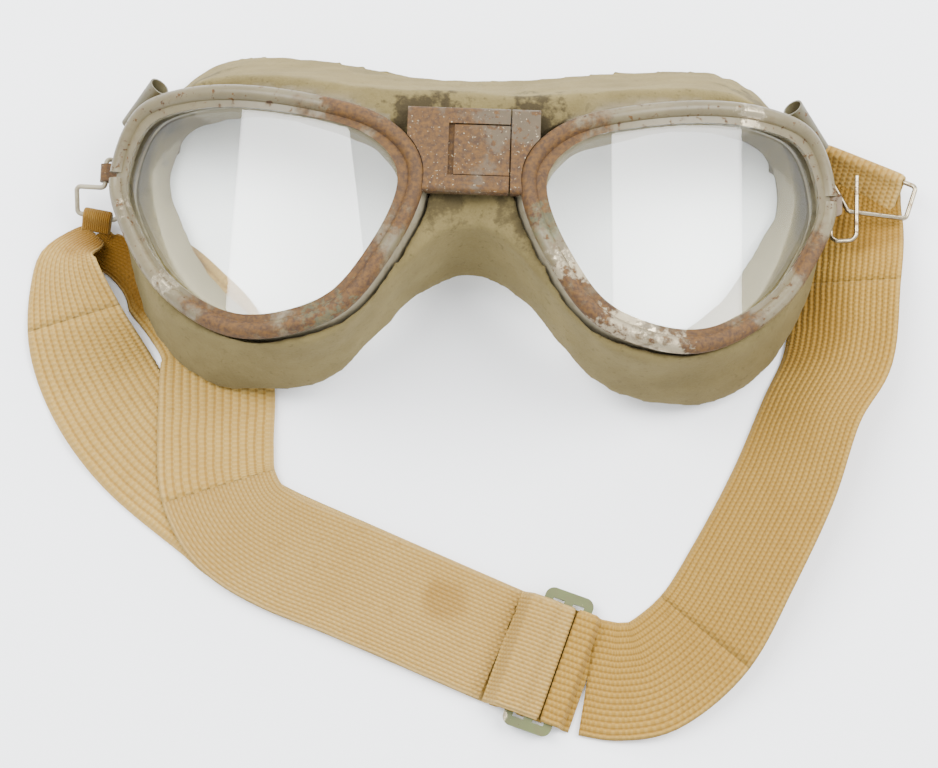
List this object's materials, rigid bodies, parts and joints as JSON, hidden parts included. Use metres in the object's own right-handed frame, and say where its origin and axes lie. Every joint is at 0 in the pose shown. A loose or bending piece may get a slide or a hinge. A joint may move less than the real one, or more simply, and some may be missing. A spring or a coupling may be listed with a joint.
{
  "type": "flying goggles",
  "caption": "Flying goggles with curved lenses in rolled rims, a sliding nose bridge, a face cushion, side vent tubes and an elastic strap with a slide.",
  "frame": {"origin": "under the bridge, on the plane that the face cushion rests on, near the height of the lens centres", "axes": "+X across the face towards the wearer's left-hand lens as seen from in front on the right, +Y towards the brow, +Z out through the lenses"},
  "size_m": [0.2365, 0.1826, 0.0479],
  "materials": {
    "rim_paint": "worn, rust spots",
    "cup_paint": "satin, worn",
    "lens_glass": "clear, polished",
    "gasket_rubber": "aged",
    "bright_wire": "bright nickel",
    "bridge_metal": "rust-brown, speckled",
    "cushion_suede": "suede, stained",
    "slide_paint": "olive paint",
    "strap_webbing": "ribbed elastic webbing"
  },
  "bodies": {
    "left_frame": {"left_rim": "rim_paint", "left_lens": "lens_glass", "left_lens_gasket": "gasket_rubber", "left_eyecup": "cup_paint", "left_vent_tube": "cup_paint", "left_temple_lug": "rim_paint", "bridge_channel": "bridge_metal", "bridge_back_plate": "bridge_metal", "face_cushion": "cushion_suede", "strap_right_run": "strap_webbing", "strap_outer_ply": "strap_webbing", "strap_return_ply": "strap_webbing"},
    "right_frame": {"right_rim": "rim_paint", "right_lens": "lens_glass", "right_lens_gasket": "gasket_rubber", "right_eyecup": "cup_paint", "right_vent_tube": "cup_paint", "right_temple_lug": "rim_paint", "right_strap_hook": "bright_wire", "bridge_tongue": "bridge_metal", "bridge_shoulder": "bridge_metal"},
    "left_ring": {"left_strap_ring": "cup_paint", "strap_left_turn": "strap_webbing"},
    "right_ring": {"right_strap_ring": "bright_wire", "strap_right_end": "strap_webbing"},
    "buckle": {"slide_buckle": "slide_paint", "strap_threaded": "strap_webbing", "strap_sewn_end": "strap_webbing"}
  },
  "joints": [
    {"name": "bridge_slide", "type": "slide", "parent": "left_frame", "child": "right_frame", "axis": [1, 0, 0], "range_m": [-0.0003, 0.006], "deforming": ["face_cushion", "strap_right_run"]},
    {"name": "left_ring_swing", "type": "hinge", "parent": "left_frame", "child": "left_ring", "pos_m": [-0.0982, 0.0142, 0.0107], "axis": [0, 1, 0], "range_deg": [-4, 40], "deforming": ["strap_outer_ply", "strap_return_ply"]},
    {"name": "right_ring_swing", "type": "hinge", "parent": "right_frame", "child": "right_ring", "pos_m": [0.1022, 0.0105, 0.0108], "axis": [-0.9023, 0.4311, 0], "range_deg": [-12, 12], "deforming": ["strap_right_run"]},
    {"name": "buckle_slide", "type": "slide", "parent": "left_frame", "child": "buckle", "axis": [-0.9527, 0.304, 0], "range_m": [-0.012, 0.012], "deforming": ["strap_right_run", "strap_outer_ply", "strap_return_ply"]}
  ]
}
